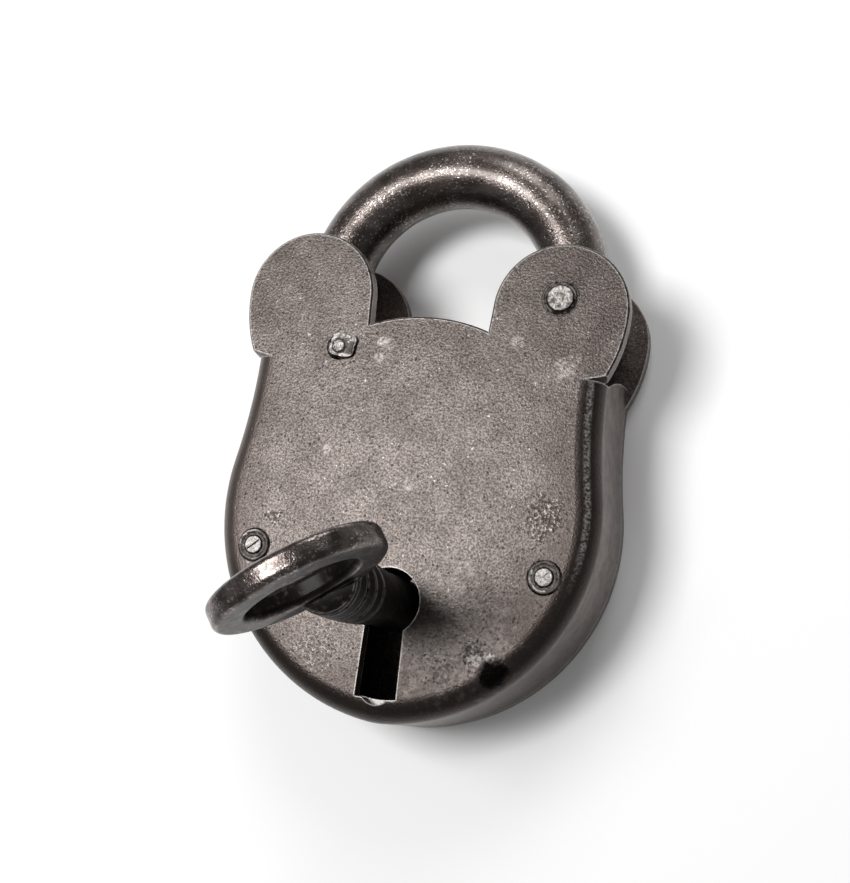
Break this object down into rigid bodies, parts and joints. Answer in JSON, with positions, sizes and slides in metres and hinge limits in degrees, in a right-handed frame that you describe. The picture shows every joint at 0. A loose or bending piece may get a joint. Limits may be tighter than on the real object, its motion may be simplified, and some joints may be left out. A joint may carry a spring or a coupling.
{
  "type": "padlock",
  "caption": "Riveted lever padlock with round ears, a swinging round-rod shackle, spring bolt, pivoting levers and a ring-bow pipe key in the keyhole.",
  "frame": {"origin": "on the back face, under the middle of the belly's widest line", "axes": "+Z out of the front face, +Y towards the shackle's crown, +X towards the shackle's hinge"},
  "size_m": [0.0652, 0.0996, 0.0681],
  "materials": {
    "shell_steel": "aged mottled grey-brown sheet steel",
    "plate_steel": "aged dark sheet steel",
    "shackle_iron": "dark forged rod, polished by handling",
    "key_iron": "dark malleable iron, worn",
    "rivet_steel": "bright hammered rivet ends",
    "pin_steel": "turned steel",
    "bolt_brass": "dull cast brass",
    "lever_brass": "dull sheet brass",
    "spring_steel": "blued spring strip"
  },
  "bodies": {
    "case": {"front_shell": "shell_steel", "back_plate": "plate_steel", "crown_wall": "plate_steel", "shackle_rivet": "rivet_steel", "guide_rivet": "rivet_steel", "case_rivet_left": "rivet_steel", "case_rivet_right": "rivet_steel", "drill_pin": "pin_steel", "lever_post": "pin_steel", "lever_washer_1": "pin_steel", "lever_washer_2": "pin_steel", "lever_washer_3": "pin_steel", "lever_washer_4": "pin_steel", "bolt_guide_stud": "pin_steel", "lever_stop_pin": "pin_steel", "spring_anchor": "pin_steel", "bolt_spring": "spring_steel"},
    "shackle": {"shackle": "shackle_iron"},
    "key": {"key": "key_iron"},
    "bolt": {"bolt": "bolt_brass", "bolt_stump": "pin_steel"},
    "lever_1": {"lever_1": "lever_brass", "lever_spring_1": "spring_steel"},
    "lever_2": {"lever_2": "lever_brass", "lever_spring_2": "spring_steel"},
    "lever_3": {"lever_3": "lever_brass", "lever_spring_3": "spring_steel"},
    "lever_4": {"lever_4": "lever_brass", "lever_spring_4": "spring_steel"}
  },
  "joints": [
    {"name": "shackle_swing", "type": "hinge", "parent": "case", "child": "shackle", "pos_m": [0.0213, 0.0362, 0.0111], "axis": [0, 0, -1], "range_deg": [0, 115]},
    {"name": "key_turn", "type": "hinge", "parent": "case", "child": "key", "pos_m": [0, -0.0148, 0.0111], "axis": [0, 0, 1], "range_deg": [0, 235.2]},
    {"name": "bolt_slide", "type": "slide", "parent": "case", "child": "bolt", "axis": [-1, 0, 0], "range_m": [0, 0.005], "deforming": ["bolt_spring"]},
    {"name": "lever_1_pivot", "type": "hinge", "parent": "case", "child": "lever_1", "pos_m": [-0.017, 0.003, 0.0078], "axis": [0, 0, -1], "range_deg": [0, 6], "deforming": ["lever_spring_1"]},
    {"name": "lever_2_pivot", "type": "hinge", "parent": "case", "child": "lever_2", "pos_m": [-0.017, 0.003, 0.0101], "axis": [0, 0, -1], "range_deg": [0, 6], "deforming": ["lever_spring_2"]},
    {"name": "lever_3_pivot", "type": "hinge", "parent": "case", "child": "lever_3", "pos_m": [-0.017, 0.003, 0.0124], "axis": [0, 0, -1], "range_deg": [0, 6], "deforming": ["lever_spring_3"]},
    {"name": "lever_4_pivot", "type": "hinge", "parent": "case", "child": "lever_4", "pos_m": [-0.017, 0.003, 0.0147], "axis": [0, 0, -1], "range_deg": [0, 6], "deforming": ["lever_spring_4"]}
  ],
  "couplings": [
    {"joint": "key_turn", "follows": "bolt_slide", "rad_per_m": 821},
    {"joint": "lever_1_pivot", "follows": "bolt_slide", "rad_per_m": 20.944},
    {"joint": "lever_2_pivot", "follows": "bolt_slide", "rad_per_m": 20.944},
    {"joint": "lever_3_pivot", "follows": "bolt_slide", "rad_per_m": 20.944},
    {"joint": "lever_4_pivot", "follows": "bolt_slide", "rad_per_m": 20.944}
  ]
}
